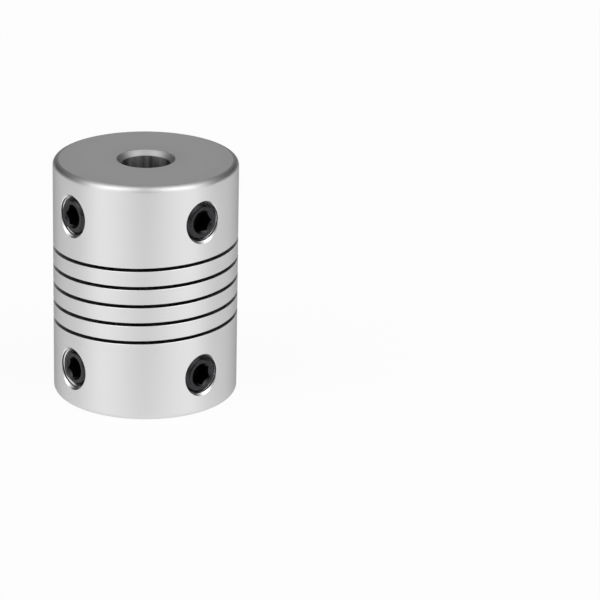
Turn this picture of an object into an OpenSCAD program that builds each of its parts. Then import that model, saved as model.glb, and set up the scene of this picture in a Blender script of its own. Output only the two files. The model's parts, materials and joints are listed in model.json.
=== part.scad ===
// Flexible shaft coupling: one turned and bored bar with a helical slit through its middle,
// and two cup point set screws a quarter turn apart in each hub.
// It stands on the hub with the wide bore. Z runs along the shafts, and the origin is the centre
// of the lower face. The set screws face the front (-Y) and the left (-X).

/* [Body] */
// Outside diameter
body_d = 19; // [17:0.5:25]
// Length from face to face
body_l = 25; // [24:0.5:40]
// Radius that rounds the outer edge of each face
rim_round = 0.6; // [0.1:0.1:1]

/* [Bores] */
// Bore of the upper hub
top_bore_d = 5; // [3:0.1:6.4]
// Bore of the lower hub
bottom_bore_d = 8; // [6:0.1:8.4]
// Bevel at the mouth of each bore
mouth_bevel = 0.5; // [0.1:0.1:0.8]
// Relief behind the slit, which keeps both shafts clear of the coils
relief_d = 9; // [8.6:0.1:11]
// Length of relief past the slit at each end
relief_run = 0.4; // [0.2:0.1:1]
// Full angle of the drill point that ends the relief
drill_angle = 118; // [90:1:140]

/* [Helical slit] */
// Width of the cut
slit_w = 0.35; // [0.2:0.05:0.6]
// Rise in one turn
slit_pitch = 1.95; // [1.6:0.05:2.1]
// Turns cut right through to the relief
slit_turns = 5; // [3:0.5:5.5]
// Direction that the middle of the slit faces, counted from the right (+X)
slit_facing = -114; // [-180:1:180]
// Diameter of the saw, which shapes the run-out at each end of the slit
saw_d = 50; // [30:1:80]

/* [Set screws] */
// Thread diameter of the screws and of their tapped holes
screw_d = 4; // [3:0.5:5]
// Length of a screw
screw_l = 4; // [3:0.5:5]
// Distance from each face to the axis of its screws
screw_inset = 4.25; // [3.5:0.05:5]
// Angle between the two screws of a hub
screw_spread = 90; // [75:5:150]
// Bevel at the mouth of each tapped hole
hole_bevel = 0.25; // [0.05:0.05:0.5]
// Gap between a screw and the wall of its hole
thread_clearance = 0.03; // [0.01:0.01:0.1]
// Bevel round the outer end of a screw
crown_bevel = 0.4; // [0.1:0.05:0.5]
// Width across the flats of the hexagon socket
socket_w = 2; // [1.5:0.1:2.5]
// Depth of the socket
socket_depth = 1.8; // [1:0.1:2]
// Bevel at the mouth of the socket
socket_bevel = 0.1; // [0.05:0.05:0.3]
// Diameter of the ring that the cup point bites with
cup_d = 2; // [1.4:0.1:2.4]

/* [Screw depths] */
// Depth of the upper front screw below the crown of the body
top_front_depth = 0.1; // [0:0.05:1]
// Depth of the upper left screw below the crown of the body
top_left_depth = 0.1; // [0:0.05:1]
// Depth of the lower front screw below the crown of the body
bottom_front_depth = 0.05; // [0:0.05:1]
// Depth of the lower left screw below the crown of the body
bottom_left_depth = 0.25; // [0:0.05:1]

/* [Screw turns] */
// Turn of the upper front screw, from a hexagon with a corner up
top_front_turn = 30; // [0:5:55]
// Turn of the upper left screw
top_left_turn = 0; // [0:5:55]
// Turn of the lower front screw
bottom_front_turn = 5; // [0:5:55]
// Turn of the lower left screw
bottom_left_turn = 15; // [0:5:55]

/* [Hidden] */
$fn = 96;

// Steps of the quarter circle that rounds an outer edge
rim_steps = 6;
// Steps of the slit in one turn
slit_steps = 60;
// How far a cutter runs past the face that it opens
over = 1;
// How far the edge of the saw passes what it has to cut through
saw_over = 0.3;
// Full angle of the hollow in a cup point, and of the drill mark at the bottom of a socket
point_angle = 120;

body_r = body_d / 2;
top_r = top_bore_d / 2;
bottom_r = bottom_bore_d / 2;
relief_r = relief_d / 2;
hole_r = screw_d / 2;
screw_r = hole_r - thread_clearance;
socket_r = socket_w / sqrt(3);

slit_mid_z = body_l / 2;
slit_rise = slit_turns * slit_pitch;
relief_z = slit_mid_z - slit_rise / 2 - slit_w / 2 - relief_run;
relief_top_z = slit_mid_z + slit_rise / 2 + slit_w / 2 + relief_run;
bottom_bore_z = relief_z - (relief_r - bottom_r);
top_bore_z = relief_top_z + (relief_r - top_r) / tan(drill_angle / 2);

// Directions of the front and left screws, counted from +X
front_angle = -90;
left_angle = front_angle - screw_spread;
top_screw_z = body_l - screw_inset;
bottom_screw_z = screw_inset;

// The saw stands this far from the axis when its edge has cut through to the relief
saw_r = saw_d / 2;
saw_reach = relief_r - saw_over;
saw_axis = saw_reach + saw_r;

// Distance from the axis to the edge of the saw, at an angle from the middle of the saw
function saw_edge(angle) =
    saw_axis * cos(angle) - sqrt(pow(saw_r, 2) - pow(saw_axis * sin(angle), 2));

// Angle from the middle of the saw at which its edge leaves a circle of radius r
function saw_exit(r) =
    acos((pow(r, 2) + pow(saw_axis, 2) - pow(saw_r, 2)) / (2 * r * saw_axis));

// Points of the quarter circle at an outer corner, about a centre at height z
function rim_corner(z, start) = [
    for (i = [0 : rim_steps])
        let (a = start + 90 * i / rim_steps)
        [body_r - rim_round * (1 - cos(a)), z + rim_round * sin(a)]
];

// Moves what is drawn along +X from the axis to an angle and height on the body
module on_body(angle, height) {
    translate([0, 0, height])
        rotate([0, 0, angle])
            rotate([0, 90, 0])
                children();
}

// Half section of the bar outside, with a quarter circle at each corner
module bar() {
    rotate_extrude()
        polygon([
            [0, 0],
            each rim_corner(rim_round, -90),
            each rim_corner(body_l - rim_round, 0),
            [0, body_l]
        ]);
}

// Everything bored out along the axis, from below the lower face to above the upper one
module bores() {
    rotate_extrude()
        polygon([
            [0, -over],
            [bottom_r + mouth_bevel + over, -over],
            [bottom_r, mouth_bevel],
            [bottom_r, bottom_bore_z],
            [relief_r, relief_z],
            [relief_r, relief_top_z],
            [top_r, top_bore_z],
            [top_r, body_l - mouth_bevel],
            [top_r + mouth_bevel + over, body_l + over],
            [0, body_l + over]
        ]);
}

// The slit: a ribbon that climbs to the right round the axis, cut from the outside. Its inner edge
// lies in the relief for all its turns, and follows the saw out through the surface at both ends.
module helical_slit() {
    outer = body_r + over;
    half_turns = slit_turns * 180;
    run_out = saw_exit(body_r + saw_over);
    half_sweep = half_turns + run_out;
    steps = ceil(2 * half_sweep / 360 * slit_steps);
    angles = [for (i = [0 : steps]) -half_sweep + 2 * half_sweep * i / steps];
    rings = [
        for (a = angles)
            let (
                past = max(0, abs(a) - half_turns),
                inner = saw_edge(past),
                z = slit_mid_z + a / 360 * slit_pitch,
                way = [cos(slit_facing + a), sin(slit_facing + a)]
            )
            each [
                [inner * way.x, inner * way.y, z - slit_w / 2],
                [outer * way.x, outer * way.y, z - slit_w / 2],
                [outer * way.x, outer * way.y, z + slit_w / 2],
                [inner * way.x, inner * way.y, z + slit_w / 2]
            ]
    ];
    sides = [
        for (i = [0 : steps - 1], k = [0 : 3])
            let (
                a = 4 * i + k,
                b = 4 * i + (k + 1) % 4
            )
            each [[a, b, b + 4], [a, b + 4, a + 4]]
    ];
    ends = [[3, 2, 1, 0], [4 * steps, 4 * steps + 1, 4 * steps + 2, 4 * steps + 3]];
    polyhedron(points = rings, faces = concat(sides, ends));
}

// A tapped hole from the outside into the bore, with a bevelled mouth
module screw_hole(angle, height) {
    on_body(angle, height) {
        cylinder(r = hole_r, h = body_r + over);
        translate([0, 0, body_r - hole_bevel])
            cylinder(r1 = hole_r, r2 = hole_r + hole_bevel + over, h = hole_bevel + over);
    }
}

module body() {
    color("silver")
        difference() {
            bar();
            bores();
            helical_slit();
            for (angle = [front_angle, left_angle], height = [bottom_screw_z, top_screw_z])
                screw_hole(angle, height);
        }
}

// The hexagon socket along +Z from its mouth at z = 0, with the drill mark at its bottom
module socket() {
    drill_r = socket_w / 2;
    drill_point = drill_r / tan(point_angle / 2);
    translate([0, 0, -socket_depth])
        cylinder(r = socket_r, h = socket_depth + over, $fn = 6);
    translate([0, 0, -socket_depth - drill_point])
        cylinder(r1 = 0, r2 = drill_r, h = drill_point);
    translate([0, 0, -socket_bevel])
        cylinder(r1 = socket_r, r2 = socket_r + socket_bevel + over, h = socket_bevel + over);
}

// A set screw along +Z with its outer end at z = 0 and its cup point below
module set_screw() {
    cup_r = cup_d / 2;
    cup_hollow = cup_r / tan(point_angle / 2);
    difference() {
        rotate_extrude()
            polygon([
                [0, -screw_l + cup_hollow],
                [cup_r, -screw_l],
                [screw_r, -screw_l + screw_r - cup_r],
                [screw_r, -crown_bevel],
                [screw_r - crown_bevel, 0],
                [0, 0]
            ]);
        socket();
    }
}

module seated_screw(angle, height, depth, turn) {
    color("dimgray")
        on_body(angle, height)
            translate([0, 0, body_r - depth])
                rotate([0, 0, turn])
                    set_screw();
}

module top_front_set_screw() {
    seated_screw(front_angle, top_screw_z, top_front_depth, top_front_turn);
}

module top_left_set_screw() {
    seated_screw(left_angle, top_screw_z, top_left_depth, top_left_turn);
}

module bottom_front_set_screw() {
    seated_screw(front_angle, bottom_screw_z, bottom_front_depth, bottom_front_turn);
}

module bottom_left_set_screw() {
    seated_screw(left_angle, bottom_screw_z, bottom_left_depth, bottom_left_turn);
}

body();
top_front_set_screw();
top_left_set_screw();
bottom_front_set_screw();
bottom_left_set_screw();
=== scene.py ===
# Studio scene for a flexible shaft coupling: one bar of turned aluminium with a helical slit, and four
# black set screws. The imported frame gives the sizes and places. The bar and the screws are drawn again here
# with rounder surfaces, cut threads and fine edges, and they stand for the frame's own nodes.
import json
import math

import bmesh
import bpy
from mathutils import Matrix, Vector


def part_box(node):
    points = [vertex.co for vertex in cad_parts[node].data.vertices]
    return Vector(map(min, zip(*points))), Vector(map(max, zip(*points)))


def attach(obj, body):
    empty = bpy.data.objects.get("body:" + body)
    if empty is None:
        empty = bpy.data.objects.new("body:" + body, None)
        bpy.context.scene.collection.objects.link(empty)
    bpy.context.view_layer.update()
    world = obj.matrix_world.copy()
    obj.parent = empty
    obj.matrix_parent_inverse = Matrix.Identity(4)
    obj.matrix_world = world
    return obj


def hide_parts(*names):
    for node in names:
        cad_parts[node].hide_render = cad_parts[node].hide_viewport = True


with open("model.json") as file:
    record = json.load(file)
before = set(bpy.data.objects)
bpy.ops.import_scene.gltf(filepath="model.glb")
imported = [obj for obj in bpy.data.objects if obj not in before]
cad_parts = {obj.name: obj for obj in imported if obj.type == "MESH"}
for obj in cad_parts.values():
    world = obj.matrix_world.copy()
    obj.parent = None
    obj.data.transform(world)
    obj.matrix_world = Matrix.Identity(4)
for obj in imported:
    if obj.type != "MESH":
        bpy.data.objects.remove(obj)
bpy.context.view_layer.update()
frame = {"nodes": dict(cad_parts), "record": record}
print("frame loaded:", sorted(frame["nodes"]))

mm = 0.001
fullTurn = 2 * math.pi
bodyLow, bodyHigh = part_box("body")
bodyRadius = (bodyHigh.x - bodyLow.x) / 2
bodyLength = bodyHigh.z - bodyLow.z
mounts = {mount["name"]: mount for mount in frame["record"]["mounts"]}
topBoreRadius = mounts["bore_5mm"]["dims"]["r_mm"] * mm
bottomBoreRadius = mounts["bore_8mm"]["dims"]["r_mm"] * mm
topBoreMouth = mounts["bore_5mm"]["pos_m"][2]  # height where the mouth bevel ends and the bore begins
topBoreEnd = topBoreMouth - mounts["bore_5mm"]["dims"]["length_mm"] * mm
bottomBoreMouth = mounts["bore_8mm"]["pos_m"][2]
bottomBoreEnd = bottomBoreMouth + mounts["bore_8mm"]["dims"]["length_mm"] * mm


# Mesh helpers

weld = 0.0001 * mm  # points nearer than this are one
near = 0.001 * mm  # and nearer than this counts as touching


def finishMesh(name, bm, materials=()):
    # writes a bmesh to a new object that sits at the origin
    bmesh.ops.recalc_face_normals(bm, faces=bm.faces[:])
    mesh = bpy.data.meshes.new(name)
    bm.to_mesh(mesh)
    bm.free()
    for material in materials:
        mesh.materials.append(material)
    piece = bpy.data.objects.new(name, mesh)
    bpy.context.scene.collection.objects.link(piece)
    return piece


def solidOfRevolution(name, outline, steps, material):
    # an open outline from axis to axis, turned once, with its poles closed
    bm = bmesh.new()
    corners = [bm.verts.new((r, 0, z)) for r, z in outline]
    edges = [bm.edges.new((a, b)) for a, b in zip(corners, corners[1:])]
    bmesh.ops.spin(bm, geom=corners + edges, axis=(0, 0, 1), cent=(0, 0, 0),
                   angle=fullTurn, steps=steps, use_merge=True)
    bmesh.ops.remove_doubles(bm, verts=bm.verts[:], dist=weld)
    return finishMesh(name, bm, [material])


def cut(piece, tools, operation="DIFFERENCE"):
    # a boolean with one or more tools that is applied at once, after which the tools are gone
    box = bpy.data.collections.new("tools")
    for tool in tools:
        box.objects.link(tool)
    modifier = piece.modifiers.new("cut", "BOOLEAN")
    modifier.operation = operation
    modifier.solver = "EXACT"
    modifier.material_mode = "TRANSFER"
    modifier.operand_type = "COLLECTION"
    modifier.collection = box
    graph = bpy.context.evaluated_depsgraph_get()
    result = bpy.data.meshes.new_from_object(piece.evaluated_get(graph))
    piece.modifiers.clear()
    # the boolean leaves slivers where a tool grazes an edge, and welding takes them out
    bm = bmesh.new()
    bm.from_mesh(result)
    bmesh.ops.remove_doubles(bm, verts=bm.verts[:], dist=weld)
    bmesh.ops.dissolve_degenerate(bm, edges=bm.edges[:], dist=weld)
    bm.to_mesh(result)
    bm.free()
    piece.data = result
    result.name = piece.name
    for tool in tools:
        bpy.data.objects.remove(tool)
    bpy.data.collections.remove(box)


def threadedRod(name, thread, start, turns, material):
    # a closed rod along Z with a right-handed thread, cut off flat at both ends
    pitch = thread["pitch"]
    flank = (thread["crest"] - thread["root"]) * math.tan(thread["flankAngle"])
    rootFlat = pitch - thread["crestFlat"] * pitch - 2 * flank
    chain = [(thread["root"], 0),
             (thread["root"], rootFlat / 2),
             (thread["crest"], rootFlat / 2 + flank),
             (thread["crest"], pitch - rootFlat / 2 - flank),
             (thread["root"], pitch - rootFlat / 2),
             (thread["root"], pitch)]
    steps = thread["steps"]
    bm = bmesh.new()
    corners = [bm.verts.new((r, 0, start + z)) for r, z in chain]
    edges = [bm.edges.new((a, b)) for a, b in zip(corners, corners[1:])]
    bmesh.ops.spin(bm, geom=corners + edges, axis=(0, 0, 1), cent=(0, 0, 0), dvec=(0, 0, pitch / steps),
                   angle=fullTurn * turns, steps=steps * turns, use_merge=False)
    bmesh.ops.remove_doubles(bm, verts=bm.verts[:], dist=near)
    middle = start + pitch * (turns + 1) / 2
    rim = [edge for edge in bm.edges if edge.is_boundary]
    skirt = bmesh.ops.extrude_edge_only(bm, edges=rim)["geom"]
    for corner in [item for item in skirt if isinstance(item, bmesh.types.BMVert)]:
        angle = math.atan2(corner.co.y, corner.co.x)
        end = start if corner.co.z < middle else start + pitch * (turns + 1)
        corner.co = (thread["root"] * math.cos(angle), thread["root"] * math.sin(angle), end)
    bmesh.ops.remove_doubles(bm, verts=bm.verts[:], dist=near)
    bmesh.ops.dissolve_degenerate(bm, edges=bm.edges[:], dist=near)
    bmesh.ops.holes_fill(bm, edges=[edge for edge in bm.edges if edge.is_boundary], sides=0)
    return finishMesh(name, bm, [material])


# Materials

def linear(hexColour):
    # sRGB hex to the linear values that the shader wants
    channels = [int(hexColour[i:i + 2], 16) / 255 for i in (1, 3, 5)]
    return [c / 12.92 if c <= 0.04045 else ((c + 0.055) / 1.055) ** 2.4 for c in channels] + [1]


def addNode(material, kind, settings=None, links=None):
    # one node with its settings, and links from other nodes' outputs to its inputs
    node = material.node_tree.nodes.new(kind)
    for name, value in (settings or {}).items():
        if isinstance(name, int) or name in node.inputs:
            node.inputs[name].default_value = value
        else:
            setattr(node, name, value)
    for name, output in (links or {}).items():
        material.node_tree.links.new(output, node.inputs[name])
    return node


def newMaterial(name):
    material = bpy.data.materials.new(name)
    material.use_nodes = True
    material.node_tree.nodes.clear()
    return material


usualNoise = (0.3, 0.7)  # nearly all values of a noise lie between these
cloudShare = 0.3  # of the clouds in the roughness of aluminium; the rest is rings


def stretched(material, value, span, ends):
    # maps a value from a span to new ends
    return addNode(material, "ShaderNodeMapRange", {
        "From Min": span[0], "From Max": span[1], "To Min": ends[0], "To Max": ends[1]}, {"Value": value})


def aluminium(name, look):
    # aluminium alloy with what a cutting tool leaves on a turning bar: rings that depend on height and radius
    # alone, which draw each reflection out across them
    material = newMaterial(name)
    place = addNode(material, "ShaderNodeTexCoord").outputs["Object"]
    around = addNode(material, "ShaderNodeVectorMath", {"operation": "CROSS_PRODUCT", 0: (0, 0, 1)},
                     {1: place})
    flat = addNode(material, "ShaderNodeVectorMath", {"operation": "MULTIPLY", 1: (1, 1, 0)}, {0: place})
    radius = addNode(material, "ShaderNodeVectorMath", {"operation": "LENGTH"}, {0: flat.outputs[0]})
    height = addNode(material, "ShaderNodeSeparateXYZ", links={0: place})
    ring = addNode(material, "ShaderNodeCombineXYZ", links={
        0: radius.outputs["Value"], 2: height.outputs["Z"]})
    marks = addNode(material, "ShaderNodeTexNoise", {"Scale": 1 / look["feed"], "Detail": 3},
                    {"Vector": ring.outputs[0]})
    # hands and polish leave faint clouds that the rings don't follow
    cloud = addNode(material, "ShaderNodeTexNoise", {"Scale": 1 / look["cloud"], "Detail": 2},
                    {"Vector": place})
    both = addNode(material, "ShaderNodeMix", {"data_type": "FLOAT", 0: cloudShare},
                   {2: marks.outputs["Fac"], 3: cloud.outputs["Fac"]})
    rough = stretched(material, both.outputs[0], usualNoise, look["roughness"])
    bump = addNode(material, "ShaderNodeBump", {"Strength": 1, "Distance": look["markDepth"]},
                   {"Height": marks.outputs["Fac"]})
    metal = addNode(material, "ShaderNodeBsdfPrincipled", {
        "Base Color": linear(look["colour"]), "Metallic": 1, "Specular Tint": linear(look["edge"]),
        "Anisotropic": look["anisotropy"],
        "Anisotropic Rotation": 0.25,  # a quarter turn, so that a reflection runs across the rings
    }, {"Roughness": rough.outputs[0], "Normal": bump.outputs[0], "Tangent": around.outputs[0]})
    addNode(material, "ShaderNodeOutputMaterial", links={"Surface": metal.outputs[0]})
    return material


def turnedAluminium():
    # turned outside and then polished: soft streaks along the bar, and no sharp mirror image
    return aluminium("aluminium_turned", {
        "colour": "#e7e7e7",
        "edge": "#bababa",  # what it falls to at a grazing view
        "feed": 0.16 * mm,  # width of a turning mark, coarser than the real 0.05 mm so that it shows
        "cloud": 6 * mm,
        "roughness": (0.38, 0.42),
        "anisotropy": 0.85,
        "markDepth": 0.0006 * mm,  # a shallow bump
    })


def facedAluminium():
    # faced, sawn and tapped: the marks are finer and even, so it is flat grey or bright by where it looks
    return aluminium("aluminium_faced", {
        "colour": "#e1e1e1",
        "edge": "#e7e7e7",
        "feed": 0.1 * mm,
        "cloud": 4 * mm,
        "roughness": (0.22, 0.26),
        "anisotropy": 0,
        "markDepth": 0.0003 * mm,
    })


def countersinkPaintedShade():
    # the mouths of the bores, broken with a countersink: coarse rings, rougher than the faces, and a darker
    # grey that is painted shade
    return aluminium("aluminium_countersink_painted_shade", {
        # painted shade: this colour and the edge below are darker than the faced metal's, so that the mouths
        # read darker
        "colour": "#b6b6b7",
        "edge": "#c4c4c5",
        "feed": 0.12 * mm,
        "cloud": 1.5 * mm,
        "roughness": (0.46, 0.56),
        "anisotropy": 0.3,
        "markDepth": 0.0005 * mm,
    })


def boreWallPaintedShade():
    # the walls of the bores: a darker grey than the faces, which is painted shade inside the bores, and dark
    # streaks along the axis, which are painted reflections
    look = {
        # painted shade: this colour and the edge below are darker than the faced metal's, so that the inside
        # of the bores reads dark
        "colour": "#c8c8ca",
        # painted reflection: the colour of the dark streaks
        "paintedStreakColour": "#78787a",
        "paintedStreakWidth": 0.7 * mm,
        "paintedStreakStretch": 0.03,  # how much a line is squeezed along the axis, which draws it out
        "paintedStreakEdge": (0.35, 0.65),  # part of the noise over which a line fades
        "edge": "#c8c8ca",
        "feed": 0.1 * mm,
        "cloud": 1.5 * mm,
        "roughness": (0.3, 0.4),
        "anisotropy": 0.5,
        "markDepth": 0.0003 * mm,
    }
    material = aluminium("aluminium_bore_wall_painted_shade", look)
    place = addNode(material, "ShaderNodeTexCoord").outputs["Object"]
    streakSpace = addNode(material, "ShaderNodeVectorMath", {
        "operation": "MULTIPLY", 1: (1, 1, look["paintedStreakStretch"])}, {0: place})
    # painted reflection: a noise drawn out along the axis gives the dark streaks
    paintedStreaks = addNode(material, "ShaderNodeTexNoise", {"Scale": 1 / look["paintedStreakWidth"], "Detail": 1},
                    {"Vector": streakSpace.outputs[0]})
    sharp = stretched(material, paintedStreaks.outputs["Fac"], look["paintedStreakEdge"], (0, 1))
    colour = addNode(material, "ShaderNodeMix", {"data_type": "RGBA", 6: linear(look["paintedStreakColour"]),
                                                 7: linear(look["colour"])}, {0: sharp.outputs[0]})
    metal = next(node for node in material.node_tree.nodes if node.type == "BSDF_PRINCIPLED")
    material.node_tree.links.new(colour.outputs[2], metal.inputs["Base Color"])
    return material


def blackSteel(name, look):
    # alloy steel blackened in hot oxide: nearly black, with an oily sheen that depends on the finish below it
    material = newMaterial(name)
    place = addNode(material, "ShaderNodeTexCoord").outputs["Object"]
    grain = addNode(material, "ShaderNodeTexNoise", {"Scale": 1 / look["grain"], "Detail": 4},
                    {"Vector": place})
    colour = addNode(material, "ShaderNodeMix", {"data_type": "RGBA", 6: linear(look["colour"]),
                                                 7: linear(look["worn"])}, {0: grain.outputs["Fac"]})
    rough = stretched(material, grain.outputs["Fac"], usualNoise, look["roughness"])
    bump = addNode(material, "ShaderNodeBump", {"Strength": 0.6, "Distance": look["grainDepth"]},
                   {"Height": grain.outputs["Fac"]})
    metal = addNode(material, "ShaderNodeBsdfPrincipled", {"Metallic": 1}, {
        "Base Color": colour.outputs[2], "Roughness": rough.outputs[0], "Normal": bump.outputs[0]})
    addNode(material, "ShaderNodeOutputMaterial", links={"Surface": metal.outputs[0]})
    return material


def turnedSteel():
    # the turned end and thread of a screw, which catch the light at their edges
    return blackSteel("steel_black_oxide", {
        "colour": "#242426",
        "worn": "#48484a",
        "grain": 0.25 * mm,
        "roughness": (0.2, 0.34),
        "grainDepth": 0.001 * mm,
    })


def socketSteelPaintedShade():
    # the socket: painted shade, a darker and rougher black than the screw's end, so that the hollow reads
    # dark
    return blackSteel("steel_socket_painted_shade", {
        # painted shade: the socket's near-black colour
        "colour": "#101012",
        "worn": "#202022",
        "grain": 0.2 * mm,
        "roughness": (0.5, 0.7),
        "grainDepth": 0.004 * mm,
    })


def paleSweep():
    # a matt white sweep: white to the camera and in reflections, and it keeps a soft shadow
    look = {"colour": "#f4f4f4", "white": 0.92}
    material = newMaterial("pale_sweep")
    matt = addNode(material, "ShaderNodeBsdfDiffuse", {"Color": linear(look["colour"])})
    plain = addNode(material, "ShaderNodeEmission", {"Strength": 1})
    rays = addNode(material, "ShaderNodeLightPath")
    seen = addNode(material, "ShaderNodeMath", {"operation": "MAXIMUM"},
                   {0: rays.outputs["Is Camera Ray"], 1: rays.outputs["Is Glossy Ray"]})
    seen = addNode(material, "ShaderNodeMath", {"operation": "MAXIMUM"},
                   {0: seen.outputs[0], 1: rays.outputs["Is Transmission Ray"]})
    place = addNode(material, "ShaderNodeTexCoord").outputs["Object"]
    reach = addNode(material, "ShaderNodeVectorMath", {"operation": "LENGTH"}, {0: place})
    # no white under the wide bore, where it would shine up into it
    beside = addNode(material, "ShaderNodeMath",
                     {"operation": "GREATER_THAN", 1: bottomBoreRadius + bar["mouthBevel"]},
                     {0: reach.outputs["Value"]})
    seen = addNode(material, "ShaderNodeMath", {"operation": "MULTIPLY"},
                   {0: seen.outputs[0], 1: beside.outputs[0]})
    share = addNode(material, "ShaderNodeMath", {"operation": "MULTIPLY", 1: look["white"]},
                    {0: seen.outputs[0]})
    mixed = addNode(material, "ShaderNodeMixShader",
                    links={0: share.outputs[0], 1: matt.outputs[0], 2: plain.outputs[0]})
    addNode(material, "ShaderNodeOutputMaterial", links={"Surface": mixed.outputs[0]})
    return material


# Threads: one coarse M4 thread, drawn the same way for the tapped holes and the screws

threadSize = {
    "pitch": 0.7 * mm,
    "flankAngle": math.radians(30),
    # these three are in pitches
    "tappedDepth": 0.5413,  # the standard depth of an inner thread
    "screwDepth": 0.58,  # a little deeper, so that the two never touch
    "crestFlat": 1 / 8,
    "clearance": 0.03 * mm,  # as in the frame's screws
    "steps": 48,
}
screwLow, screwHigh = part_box("top_left_set_screw")
screwCrest = (screwHigh.z - screwLow.z) / 2
holeCrest = screwCrest + threadSize["clearance"]
holeRoot = holeCrest - threadSize["tappedDepth"] * threadSize["pitch"]
screwRoot = screwCrest - threadSize["screwDepth"] * threadSize["pitch"]
tappedThread = dict(threadSize, crest=holeCrest, root=holeRoot)
screwThread = dict(threadSize, crest=screwCrest, root=screwRoot)


# Where each screw sits: its axis, and its outer end, both from the frame

def screwPlace(node):
    low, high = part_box(node)
    way = Vector((0, -1, 0)) if "front" in node else Vector((-1, 0, 0))
    return {"node": node, "way": way, "reach": low.dot(way), "height": (low.z + high.z) / 2}


screwPlaces = [screwPlace(node) for node in sorted(frame["nodes"]) if node.endswith("set_screw")]


def placeAlong(piece, place, distance):
    # turns a piece drawn along Z to point out of the bar, and moves it out by a distance
    turn = Vector((0, 0, 1)).rotation_difference(place["way"]).to_matrix().to_4x4()
    shift = Matrix.Translation(place["way"] * distance + Vector((0, 0, place["height"])))
    piece.data.transform(shift @ turn)


# The bar

bar = {
    "rimRound": 0.6 * mm,
    "rimSteps": 10,
    "mouthBevel": 0.5 * mm,
    "reliefRadius": 4.5 * mm,
    "drillAngle": math.radians(118),
    "edgeBreak": 0.06 * mm,  # how far the turned corners are rounded
    "edgeSteps": 3,
    "faceSlope": 0.9,  # a surface whose normal rises more than this is faced
    "mouthSlope": 0.3,  # and one between the two is countersunk
    "steps": 360,
    "slitWidth": 0.35 * mm,
    "slitPitch": 1.95 * mm,
    "slitTurns": 5,
    "slitFacing": math.radians(-114),
    "slitBreak": 0.03 * mm,  # the burr is taken off the edges of the slit
    "slitSteps": 120,
    "sawRadius": 25 * mm,
    "sawReach": 4.2 * mm,
    "sawOver": 0.3 * mm,  # how far the saw runs on outside the bar
    "holeBevel": 0.25 * mm,
    "threadStart": 0.45 * mm,  # depth below the crown at which the tapped thread begins
    "mouthClear": 0.02 * mm,  # how much wider than the thread the plain mouth of a hole is
    "throatClear": 0.1 * mm,  # how far inside the thread the tool for the mouth reaches
    "mouthSteps": 96,
    "over": 0.5 * mm,  # how far a tool runs past the face that it opens
}


def turnedBar():
    radius = bodyRadius - weld  # so that no rounding takes it out of the frame's box
    mouth = bar["mouthBevel"]
    relief = bar["reliefRadius"]
    drillTip = math.tan(bar["drillAngle"] / 2)
    outline = [
        (bottomBoreRadius + mouth, 0), (radius, 0), (radius, bodyLength), (topBoreRadius + mouth, bodyLength),
        (topBoreRadius, topBoreMouth), (topBoreRadius, topBoreEnd),
        (relief, topBoreEnd - (relief - topBoreRadius) / drillTip),
        (relief, bottomBoreEnd + relief - bottomBoreRadius), (bottomBoreRadius, bottomBoreEnd),
        (bottomBoreRadius, bottomBoreMouth),
    ]
    bm = bmesh.new()
    bm.faces.new([bm.verts.new((r, 0, z)) for r, z in outline])
    rims = [corner for corner in bm.verts if corner.co.x > radius - near]
    corners = [corner for corner in bm.verts if corner not in rims]
    bmesh.ops.bevel(bm, geom=corners, offset=bar["edgeBreak"], offset_type="OFFSET",
                    segments=bar["edgeSteps"], profile=0.5, affect="VERTICES", material=-1)
    rims = [corner for corner in bm.verts if corner.co.x > radius - near]
    bmesh.ops.bevel(bm, geom=rims, offset=bar["rimRound"], offset_type="OFFSET",
                    segments=bar["rimSteps"], profile=0.5, affect="VERTICES", material=-1)
    bmesh.ops.delete(bm, geom=bm.faces[:], context="FACES_ONLY")
    bmesh.ops.spin(bm, geom=bm.verts[:] + bm.edges[:], axis=(0, 0, 1), cent=(0, 0, 0),
                   angle=fullTurn, steps=bar["steps"], use_merge=True)
    bm.normal_update()
    for face in bm.faces:
        middle = face.calc_center_median()
        if math.hypot(middle.x, middle.y) > radius - bar["rimRound"]:
            face.material_index = 0
        else:
            slope = abs(face.normal.z)
            # the countersunk mouths and the bore walls get the materials with painted shade
            face.material_index = 1 if slope > bar["faceSlope"] else 2 if slope > bar["mouthSlope"] else 3
    return finishMesh("turned_body", bm, [turned, faced, countersunk, reamed])


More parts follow.
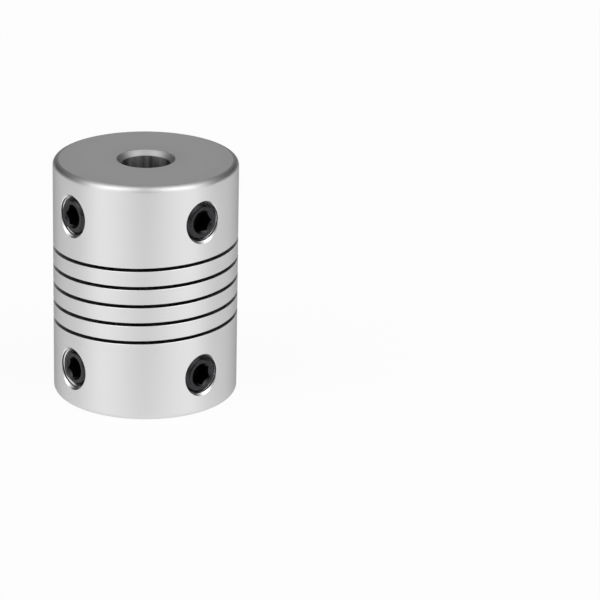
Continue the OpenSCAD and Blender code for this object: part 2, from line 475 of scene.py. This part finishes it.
def sawSlit():
    # a ribbon that climbs round the axis; at its ends the inner edge follows the saw out of the bar
    half = bar["slitWidth"] / 2
    lip = bar["slitBreak"]
    out = bar["over"]
    inner = bar["sawReach"]
    edge = bodyRadius - lip
    section = [(inner, -half), (edge, -half), (bodyRadius + out, -half - lip - out),
               (bodyRadius + out, half + lip + out), (edge, half), (inner, half)]
    sawRadius = bar["sawRadius"]
    sawAxis = inner + sawRadius
    clear = bodyRadius + bar["sawOver"]
    runOut = math.acos((clear ** 2 + sawAxis ** 2 - sawRadius ** 2) / (2 * clear * sawAxis))
    halfTurns = bar["slitTurns"] * math.pi
    halfSweep = halfTurns + runOut
    steps = math.ceil(2 * halfSweep / fullTurn * bar["slitSteps"])
    step = 2 * halfSweep / steps
    climb = bar["slitPitch"] / fullTurn
    bm = bmesh.new()
    corners = [bm.verts.new((r, 0, z)) for r, z in section]
    edges = [bm.edges.new((a, b)) for a, b in zip(corners, corners[1:] + corners[:1])]
    bmesh.ops.spin(bm, geom=corners + edges, axis=(0, 0, 1), cent=(0, 0, 0), dvec=(0, 0, climb * step),
                   angle=2 * halfSweep, steps=steps, use_merge=False)
    bmesh.ops.holes_fill(bm, edges=[side for side in bm.edges if side.is_boundary], sides=0)
    # the angle swept so far is known from the height, because the ribbon climbs evenly
    for corner in bm.verts:
        r = math.hypot(corner.co.x, corner.co.y)
        angle = math.atan2(corner.co.y, corner.co.x)
        turnsUp = (corner.co.z / climb - angle) / fullTurn
        swept = angle + round(turnsUp) * fullTurn - halfSweep
        past = abs(swept) - halfTurns
        if past > 0 and r < edge + near:
            sawEdge = sawAxis * math.cos(past) - math.sqrt(sawRadius ** 2 - (sawAxis * math.sin(past)) ** 2)
            wanted = sawEdge if r < inner + near else max(edge, sawEdge + 10 * near)
            corner.co.x *= wanted / r
            corner.co.y *= wanted / r
    tool = finishMesh("slit", bm, [faced])
    turn = Matrix.Rotation(bar["slitFacing"] - halfSweep, 4, "Z")
    tool.data.transform(Matrix.Translation((0, 0, bodyLength / 2 - climb * halfSweep)) @ turn)
    return tool


def tappedHole(place):
    # the tap runs from the axis of the bar outwards, so it opens one wall only
    turns = math.ceil((bodyRadius + 1 * mm) / threadSize["pitch"])
    tap = threadedRod("tap", tappedThread, 0, turns, faced)
    placeAlong(tap, place, 0)
    bevel = bar["holeBevel"]
    over = bar["over"]
    wide = holeCrest + bar["mouthClear"]
    narrow = tappedThread["root"] - bar["throatClear"]
    start = -bar["threadStart"]
    mouth = solidOfRevolution("mouth", [
        (0, start - wide + narrow), (narrow, start - wide + narrow), (wide, start), (wide, -bevel),
        (wide + bevel + over, over), (0, over)], bar["mouthSteps"], faced)
    placeAlong(mouth, place, bodyRadius)
    return tap, mouth


turned = turnedAluminium()
faced = facedAluminium()
countersunk = countersinkPaintedShade()
reamed = boreWallPaintedShade()
body = turnedBar()
print("bar turned:", len(body.data.vertices), "vertices")
cut(body, [sawSlit()] + [tool for place in screwPlaces for tool in tappedHole(place)])
print("slit sawn and holes tapped:", len(body.data.vertices), "vertices")


# The set screws

screwSize = {
    "length": 4 * mm,
    "crownBevel": 0.4 * mm,
    "cupRadius": 1 * mm,
    "pointAngle": math.radians(120),
    "socketWidth": 2 * mm,
    "drillRadius": 0.96 * mm,  # just inside the flats
    "socketDepth": 1.8 * mm,
    "socketBevel": 0.1 * mm,
    "steps": 96,
    "over": 0.1 * mm,
    "drillSteps": 48,
    "mouthSteps": 90,
    "turns": {  # how far each screw is turned, which shows in its hexagon
        "top_front_set_screw": math.radians(30),
        "top_left_set_screw": math.radians(0),
        "bottom_front_set_screw": math.radians(5),
        "bottom_left_set_screw": math.radians(15),
    },
}


def setScrew(place):
    length = screwSize["length"]
    bevel = screwSize["crownBevel"]
    cup = screwSize["cupRadius"]
    over = screwSize["over"]
    crest = screwThread["crest"]
    pitch = threadSize["pitch"]
    # the rod starts a whole number of turns from the axis of the bar, in step with its hole
    inner = place["reach"] - length
    start = (math.floor(inner / pitch) - 1) * pitch
    turns = math.ceil((place["reach"] - start) / pitch) + 1
    screw = threadedRod(place["node"] + "_steel", screwThread, start, turns, blackened)
    screw.data.transform(Matrix.Translation((0, 0, -place["reach"])))
    blank = solidOfRevolution("blank", [
        (0, -length + cup / math.tan(screwSize["pointAngle"] / 2)),
        (cup, -length), (crest + over, -length + crest + over - cup),
        (crest + over, -bevel - over), (crest - bevel, 0), (0, 0)], screwSize["steps"], blackened)
    # the socket first, while the blank is still a simple solid
    cut(blank, hexagonSocket(place["node"]))
    cut(screw, [blank], "INTERSECT")
    placeAlong(screw, place, place["reach"])
    return screw


def hexagonSocket(node):
    # three tools: the hexagon, the drilled hole that shows below it, and the bevel at its mouth
    inner = screwSize["socketWidth"] / 2
    across = inner / math.cos(math.radians(30))
    deep = screwSize["socketDepth"]
    mouth = screwSize["socketBevel"]
    over = 2 * screwSize["over"]
    bm = bmesh.new()
    bmesh.ops.create_cone(bm, cap_ends=True, segments=6, radius1=across, radius2=across, depth=deep + over,
                          matrix=Matrix.Translation((0, 0, (over - deep) / 2)))
    # the hexagon and the drilled hole give the socket its painted shade
    hexagon = finishMesh("hexagon", bm, [socketShadeSteel])
    hexagon.data.transform(Matrix.Rotation(screwSize["turns"][node], 4, "Z"))
    drill = screwSize["drillRadius"]
    drilled = solidOfRevolution("drilled", [
        (0, -deep - drill / math.tan(screwSize["pointAngle"] / 2)), (drill, -deep),
        (drill - mouth, -deep + mouth), (0, -deep + mouth)], screwSize["drillSteps"], socketShadeSteel)
    bevelled = solidOfRevolution("bevelled", [
        (0, -mouth - over), (across - over, -mouth - over), (across + mouth + over, over), (0, over)
    ], screwSize["mouthSteps"], blackened)
    return [hexagon, drilled, bevelled]


blackened = turnedSteel()
socketShadeSteel = socketSteelPaintedShade()
screws = [setScrew(place) for place in screwPlaces]
print("screws made:", [len(screw.data.vertices) for screw in screws])


sharpAngle = math.radians(32)  # edges bent more than this stay sharp


def dress(piece, nodes):
    # smooth faces with sharp edges kept, and the calls that tie the piece to the frame
    piece.data.shade_smooth()
    piece.data.set_sharp_from_angle(angle=sharpAngle)
    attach(piece, "root")
    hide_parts(*nodes)


dress(body, ["body"])
for screw, place in zip(screws, screwPlaces):
    dress(screw, [place["node"]])
print("pieces dressed:", [len(piece.data.materials) for piece in [body] + screws], "materials each")


# Camera

photo = {
    "imageSize": 600,  # pixels
    "centrePixel": (145.6, 273.6),  # where the middle of the bar lies, from the upper left corner
    "azimuth": math.radians(-40.5),  # 0 looks along +Y
    "elevation": math.radians(20.65),
    "roll": math.radians(1.15),
    "lens": 206.4,  # mm, on a sensor 36 mm wide
    "distance": 354.9 * mm,
}


def towards(azimuth, elevation):
    # unit vector from the object to something at this azimuth, where 0 is in front (-Y) and 90 on the right
    return Vector((math.sin(azimuth) * math.cos(elevation), -math.cos(azimuth) * math.cos(elevation),
                   math.sin(elevation)))


def studioCamera():
    data = bpy.data.cameras.new("camera")
    data.lens = photo["lens"]
    camera = bpy.data.objects.new("camera", data)
    bpy.context.scene.collection.objects.link(camera)
    back = towards(photo["azimuth"], photo["elevation"])
    turn = back.to_track_quat("Z", "Y").to_matrix() @ Matrix.Rotation(photo["roll"], 3, "Z")
    perPixel = data.sensor_width / data.lens / photo["imageSize"] * photo["distance"]
    aside = (photo["centrePixel"][0] - photo["imageSize"] / 2) * perPixel
    above = (photo["imageSize"] / 2 - photo["centrePixel"][1]) * perPixel
    middle = Vector((0, 0, bodyLength / 2))
    place = middle - turn @ Vector((aside, above, -photo["distance"]))
    camera.matrix_world = Matrix.Translation(place) @ turn.to_4x4()
    bpy.context.scene.camera = camera


studioCamera()
print("camera placed")


# Light: a room hung with white cloth, with a bright bank to each side of its front and a dim wall behind

room = {
    "azimuth": math.radians(-38),  # where its front lies; both halves are alike
    "bank": math.radians(60),  # from the front to the middle of each bank
    "backWall": math.radians(150),  # where the sides end and the back wall begins
    # how bright each cloth looks in a mirror, near the floor and above, and where a bank has faded
    "low": {"front": 0.2, "bank": 1.1, "faded": math.radians(90), "side": 0.02, "back": 0.42},
    "high": {"front": 0.6, "bank": 2.3, "faded": math.radians(120), "side": 0.3, "back": 0.3},
    "lowTop": math.radians(20),  # up to this elevation it is all low
    "highFoot": math.radians(50),  # and from this one it is all high
}


def brightness(world, cloth, share):
    # a grey ramp from the front of the room round to its back
    ramp = addNode(world, "ShaderNodeValToRGB", links={0: share})
    stops = ramp.color_ramp.elements
    for angle in (room["bank"], cloth["faded"], room["backWall"]):
        stops.new(angle / math.pi)
    levels = [cloth[part] for part in ("front", "bank", "side", "side", "back")]
    for stop, level in zip(stops, levels):
        stop.color = (level, level, level, 1)
    return ramp.outputs[0]


def studioRoom():
    world = bpy.data.worlds.new("room")
    world.use_nodes = True
    world.node_tree.nodes.clear()
    way = addNode(world, "ShaderNodeTexCoord").outputs["Generated"]
    flat = addNode(world, "ShaderNodeVectorMath", {"operation": "MULTIPLY", 1: (1, 1, 0)}, {0: way})
    flat = addNode(world, "ShaderNodeVectorMath", {"operation": "NORMALIZE"}, {0: flat.outputs[0]})
    facing = addNode(world, "ShaderNodeVectorMath",
                     {"operation": "DOT_PRODUCT", 1: towards(room["azimuth"], 0)}, {0: flat.outputs[0]})
    turn = addNode(world, "ShaderNodeMath", {"operation": "ARCCOSINE"}, {0: facing.outputs["Value"]})
    share = addNode(world, "ShaderNodeMath", {"operation": "DIVIDE", 1: math.pi}, {0: turn.outputs[0]})
    up = addNode(world, "ShaderNodeSeparateXYZ", links={0: way})
    rise = (math.sin(room["lowTop"]), math.sin(room["highFoot"]))
    lift = stretched(world, up.outputs["Z"], rise, (0, 1))
    cloth = addNode(world, "ShaderNodeMix", {"data_type": "RGBA"}, {
        0: lift.outputs[0], 6: brightness(world, room["low"], share.outputs[0]),
        7: brightness(world, room["high"], share.outputs[0])})
    sky = addNode(world, "ShaderNodeBackground", {"Strength": 1}, {"Color": cloth.outputs[2]})
    addNode(world, "ShaderNodeOutputWorld", links={"Surface": sky.outputs[0]})
    bpy.context.scene.world = world


sweep = {
    "radius": 3,  # m, so that its edge is never seen
    "steps": 96,
    "drop": 0.002 * mm,  # a hair below the bar
}


def studioFloor():
    bm = bmesh.new()
    bmesh.ops.create_circle(bm, cap_ends=True, segments=sweep["steps"], radius=sweep["radius"],
                            matrix=Matrix.Translation((0, 0, -sweep["drop"])))
    finishMesh("floor", bm, [paleSweep()])


studioRoom()
studioFloor()
bpy.context.scene.view_settings.view_transform = "Standard"
print("studio lit")
